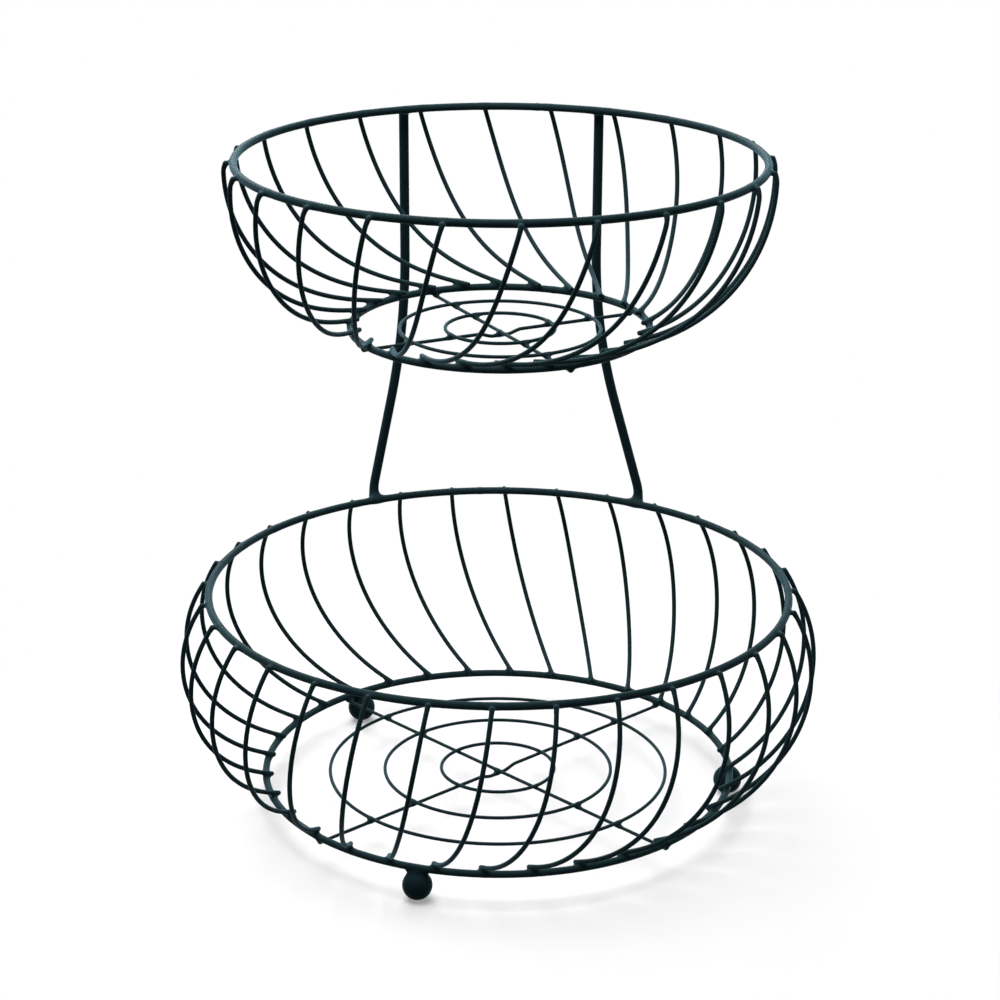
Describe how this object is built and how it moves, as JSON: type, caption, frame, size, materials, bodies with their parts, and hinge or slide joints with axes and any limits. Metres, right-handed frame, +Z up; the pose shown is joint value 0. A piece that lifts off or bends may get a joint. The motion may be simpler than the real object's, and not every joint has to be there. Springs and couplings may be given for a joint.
{
  "type": "tiered wire basket",
  "caption": "Round basket in two tiers, welded from black powder-coated wire, on ball feet, with bent uprights at the back.",
  "frame": {"origin": "on the floor, on the common axis of both bowls", "axes": "+Z up along the bowls' axis, +Y towards the uprights at the back, +X to the right seen from the front"},
  "size_m": [0.3304, 0.3304, 0.3465],
  "materials": {
    "black_powder_coat": "satin black powder coat, fine and even, slightly thicker in the weld corners"
  },
  "bodies": {
    "root": {"lower_rim": "black_powder_coat", "lower_base_ring": "black_powder_coat", "upper_rim": "black_powder_coat", "upper_base_ring": "black_powder_coat", "lower_grid_ring_inner": "black_powder_coat", "lower_grid_ring_middle": "black_powder_coat", "lower_grid_ring_outer": "black_powder_coat", "upper_grid_ring_inner": "black_powder_coat", "upper_grid_ring_outer": "black_powder_coat", "lower_cross_wire_straight": "black_powder_coat", "lower_cross_wire_joggled": "black_powder_coat", "upper_cross_wire_straight": "black_powder_coat", "upper_cross_wire_joggled": "black_powder_coat", "foot_front": "black_powder_coat", "foot_rear_left": "black_powder_coat", "foot_right": "black_powder_coat", "upright_left": "black_powder_coat", "upright_right": "black_powder_coat", "lower_spokes_01_02": "black_powder_coat", "lower_spokes_03_04": "black_powder_coat", "lower_spokes_05_06": "black_powder_coat", "lower_spokes_07_08": "black_powder_coat", "lower_spokes_09_10": "black_powder_coat", "lower_spokes_11_12": "black_powder_coat", "lower_spokes_13_14": "black_powder_coat", "lower_spokes_15_16": "black_powder_coat", "lower_spokes_17_18": "black_powder_coat", "lower_spokes_19_20": "black_powder_coat", "lower_spokes_21_22": "black_powder_coat", "lower_spokes_23_24": "black_powder_coat", "lower_spokes_25_26": "black_powder_coat", "lower_spokes_27_28": "black_powder_coat", "lower_spokes_29_30": "black_powder_coat", "lower_spokes_31_32": "black_powder_coat", "upper_spoke_01": "black_powder_coat", "upper_spoke_02": "black_powder_coat", "upper_spoke_03": "black_powder_coat", "upper_spoke_04": "black_powder_coat", "upper_spoke_05": "black_powder_coat", "upper_spoke_06": "black_powder_coat", "upper_spoke_07": "black_powder_coat", "upper_spoke_08": "black_powder_coat", "upper_spoke_09": "black_powder_coat", "upper_spoke_10": "black_powder_coat", "upper_spoke_11": "black_powder_coat", "upper_spoke_12": "black_powder_coat", "upper_spoke_13": "black_powder_coat", "upper_spoke_14": "black_powder_coat", "upper_spoke_15": "black_powder_coat", "upper_spoke_16": "black_powder_coat", "upper_spoke_17": "black_powder_coat", "upper_spoke_18": "black_powder_coat", "upper_spoke_19": "black_powder_coat", "upper_spoke_20": "black_powder_coat", "upper_spoke_21": "black_powder_coat", "upper_spoke_22": "black_powder_coat", "upper_spoke_23": "black_powder_coat", "upper_spoke_24": "black_powder_coat"}
  },
  "joints": []
}
